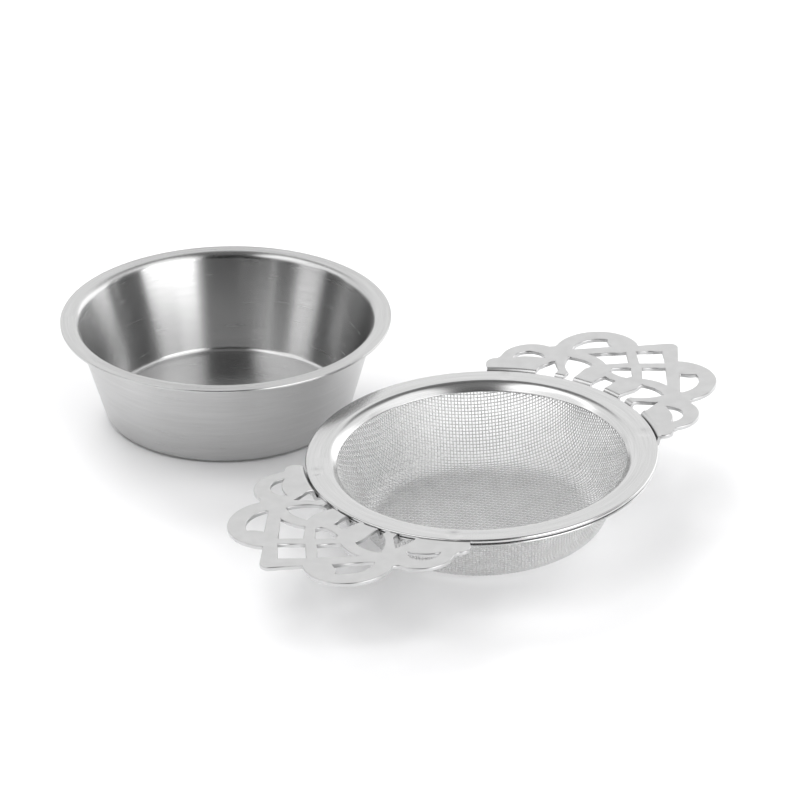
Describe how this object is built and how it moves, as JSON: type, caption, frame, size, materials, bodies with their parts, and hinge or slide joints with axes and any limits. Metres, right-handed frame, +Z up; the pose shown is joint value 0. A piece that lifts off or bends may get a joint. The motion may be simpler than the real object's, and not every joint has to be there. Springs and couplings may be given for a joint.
{
  "type": "tea strainer",
  "caption": "Stainless mesh tea strainer with two pierced knot handles, standing beside the round drip bowl that it rests on.",
  "frame": {"origin": "centre of the drip bowl's base, on the table", "axes": "+Z up; +X to the right and +Y away as the set is seen from its front; the strainer stands in front of the bowl and to its right"},
  "size_m": [0.1565, 0.1566, 0.0246],
  "materials": {
    "bowl_steel": "fine circumferential brushing, satin outside",
    "rim_steel": "soft polish",
    "clamp_steel": "soft polish",
    "wire_cloth": "bright drawn wire, plain weave",
    "handle_steel": "satin, rounded stamped edges"
  },
  "bodies": {
    "bowl": {"drip_bowl": "bowl_steel"},
    "strainer": {"rim_ring": "rim_steel", "clamp_ring": "clamp_steel", "mesh_basket": "wire_cloth", "handle_far": "handle_steel", "handle_near": "handle_steel"}
  },
  "joints": [
    {"name": "strainer_lift", "type": "slide", "parent": "bowl", "child": "strainer", "axis": [0, 0, 1], "range_m": [0, 0.06]}
  ]
}
